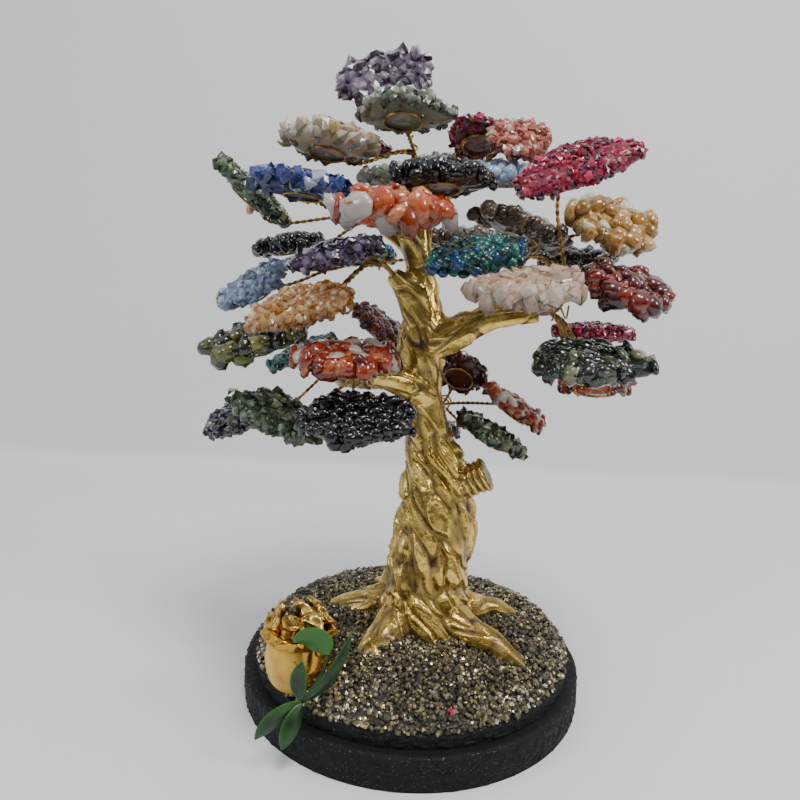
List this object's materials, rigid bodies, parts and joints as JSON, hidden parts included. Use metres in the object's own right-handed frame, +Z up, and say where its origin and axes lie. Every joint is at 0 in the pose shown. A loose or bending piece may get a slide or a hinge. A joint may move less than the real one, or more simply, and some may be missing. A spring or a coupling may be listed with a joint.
{
  "type": "gemstone tree",
  "caption": "Table-top tree of life: gold-painted clay trunk, bendable wire sprays of stone-chip leaves, round stepped base with crushed pyrite and a small clay pot.",
  "frame": {"origin": "centre of the round underside of the base", "axes": "+Z up along the trunk, -Y towards the viewer of the front, +X to that viewer's right"},
  "size_m": [0.1949, 0.15, 0.2738],
  "materials": {
    "black_glitter": "black glitter paint over a wooden disc",
    "pyrite": "crushed pyrite crumbs, metallic",
    "gold_clay": "modelled clay with antique gold paint",
    "core_wire": "bare wire inside the clay",
    "pot_clay": "matte yellow-gold glaze with a shiny gold collar",
    "gold_nugget": "gold-painted nuggets",
    "green_leaf": "satin green plastic",
    "tree_wire": "antique brass wire",
    "amethyst": "stone chips in clear resin",
    "green_quartz": "stone chips in clear resin",
    "clear_quartz": "stone chips in clear resin",
    "magenta_agate": "stone chips in clear resin",
    "garnet": "stone chips in clear resin",
    "strawberry_quartz": "stone chips in clear resin",
    "blue_agate": "stone chips in clear resin",
    "carnelian_agate": "stone chips in clear resin",
    "onyx": "stone chips in clear resin",
    "lapis": "stone chips in clear resin",
    "aventurine": "stone chips in clear resin",
    "angelite": "stone chips in clear resin",
    "peach_quartz": "stone chips in clear resin",
    "peridot": "stone chips in clear resin",
    "chrysocolla": "stone chips in clear resin",
    "sodalite": "stone chips in clear resin",
    "red_jasper": "stone chips in clear resin",
    "citrine": "stone chips in clear resin",
    "smoky_quartz": "stone chips in clear resin",
    "rose_quartz": "stone chips in clear resin",
    "moss_agate": "stone chips in clear resin"
  },
  "bodies": {
    "base": {"base_disc": "black_glitter", "base_step": "black_glitter", "pyrite_mound": "pyrite", "clay_trunk": "gold_clay", "wire_core": "core_wire", "clay_pot": "pot_clay", "gold_nuggets": "gold_nugget", "sprig": "green_leaf"},
    "crown_spray": {"wires_crown": "tree_wire", "leaf_amethyst_top": "amethyst", "leaf_green_quartz": "green_quartz", "leaf_clear_quartz": "clear_quartz", "leaf_magenta_top": "magenta_agate"},
    "crown_right_spray": {"wires_crown_right": "tree_wire", "leaf_garnet_top": "garnet", "leaf_strawberry": "strawberry_quartz", "leaf_blue_right": "blue_agate", "leaf_crown_back": "green_quartz"},
    "crown_front_spray": {"wires_crown_front": "tree_wire", "leaf_agate": "carnelian_agate", "leaf_onyx_crown": "onyx", "leaf_fluorite_crown": "green_quartz"},
    "upper_left_spray": {"wires_upper_left": "tree_wire", "leaf_lapis": "lapis", "leaf_aventurine_left": "aventurine", "leaf_black_left": "onyx"},
    "left_spray": {"wires_left": "tree_wire", "leaf_amethyst_left": "amethyst", "leaf_blue_left": "angelite", "leaf_peach": "peach_quartz", "leaf_peridot": "peridot"},
    "low_left_spray": {"wires_low_left": "tree_wire", "leaf_carnelian": "carnelian_agate", "leaf_obsidian": "onyx", "leaf_aventurine_low": "aventurine"},
    "back_left_spray": {"wires_back_left": "tree_wire", "leaf_teal_left": "chrysocolla", "leaf_sodalite": "sodalite", "leaf_jasper_left": "red_jasper", "leaf_citrine_small": "citrine"},
    "right_upper_spray": {"wires_right_upper": "tree_wire", "leaf_tiger_eye": "smoky_quartz", "leaf_citrine_right": "citrine", "leaf_chrysocolla": "chrysocolla", "leaf_black_right": "onyx", "leaf_jasper_right": "red_jasper"},
    "right_spray": {"wires_right": "tree_wire", "leaf_magenta_right": "magenta_agate", "leaf_rose_quartz": "rose_quartz", "leaf_moss_agate": "moss_agate", "leaf_magenta_low": "magenta_agate", "leaf_orange_low": "carnelian_agate"},
    "back_right_spray": {"wires_back_right": "tree_wire", "leaf_garnet_back": "garnet", "leaf_agate_back": "carnelian_agate", "leaf_aventurine_back": "aventurine", "leaf_amethyst_back": "amethyst"},
    "back_spray": {"wires_back": "tree_wire", "leaf_smoky_back": "smoky_quartz", "leaf_turquoise_back": "chrysocolla"}
  },
  "joints": [
    {"name": "crown_bend", "type": "hinge", "parent": "base", "child": "crown_spray", "pos_m": [-0.00628, 0.00528, 0.22937], "axis": [0, 1, 0], "range_deg": [-6, 12]},
    {"name": "crown_right_bend", "type": "hinge", "parent": "base", "child": "crown_right_spray", "pos_m": [0.0086, 0.0088, 0.2166], "axis": [0.4512, -0.8924, 0], "range_deg": [-10, 12]},
    {"name": "crown_front_bend", "type": "hinge", "parent": "base", "child": "crown_front_spray", "pos_m": [-0.00974, -0.01373, 0.20148], "axis": [-0.9207, 0.3903, 0], "range_deg": [-10, 6]},
    {"name": "upper_left_bend", "type": "hinge", "parent": "base", "child": "upper_left_spray", "pos_m": [-0.01894, 0.00528, 0.20339], "axis": [0.14, 0.9901, 0], "range_deg": [-10, 8]},
    {"name": "left_bend", "type": "hinge", "parent": "base", "child": "left_spray", "pos_m": [-0.01569, -0.00528, 0.18568], "axis": [-0.1595, 0.9872, 0], "range_deg": [-6, 10]},
    {"name": "low_left_bend", "type": "hinge", "parent": "base", "child": "low_left_spray", "pos_m": [-0.02294, -0.02039, 0.14328], "axis": [-0.5822, 0.8131, 0], "range_deg": [-12, 8]},
    {"name": "back_left_bend", "type": "hinge", "parent": "base", "child": "back_left_spray", "pos_m": [-0.02288, 0.02541, 0.14747], "axis": [0.6, 0.8, 0], "range_deg": [-15, 12]},
    {"name": "right_upper_bend", "type": "hinge", "parent": "base", "child": "right_upper_spray", "pos_m": [0.04098, 0.01098, 0.18996], "axis": [0.7071, -0.7071, 0], "range_deg": [-12, 12]},
    {"name": "right_bend", "type": "hinge", "parent": "base", "child": "right_spray", "pos_m": [0.04834, -0.00929, 0.17044], "axis": [-0.1203, -0.9927, 0], "range_deg": [-10, 10]},
    {"name": "back_right_bend", "type": "hinge", "parent": "base", "child": "back_right_spray", "pos_m": [0.00952, 0.03333, 0.12126], "axis": [0.9757, -0.219, 0], "range_deg": [-12, 15]},
    {"name": "back_bend", "type": "hinge", "parent": "base", "child": "back_spray", "pos_m": [-0.00442, 0.03611, 0.18806], "axis": [0.9798, 0.2, 0], "range_deg": [-15, 12]}
  ]
}
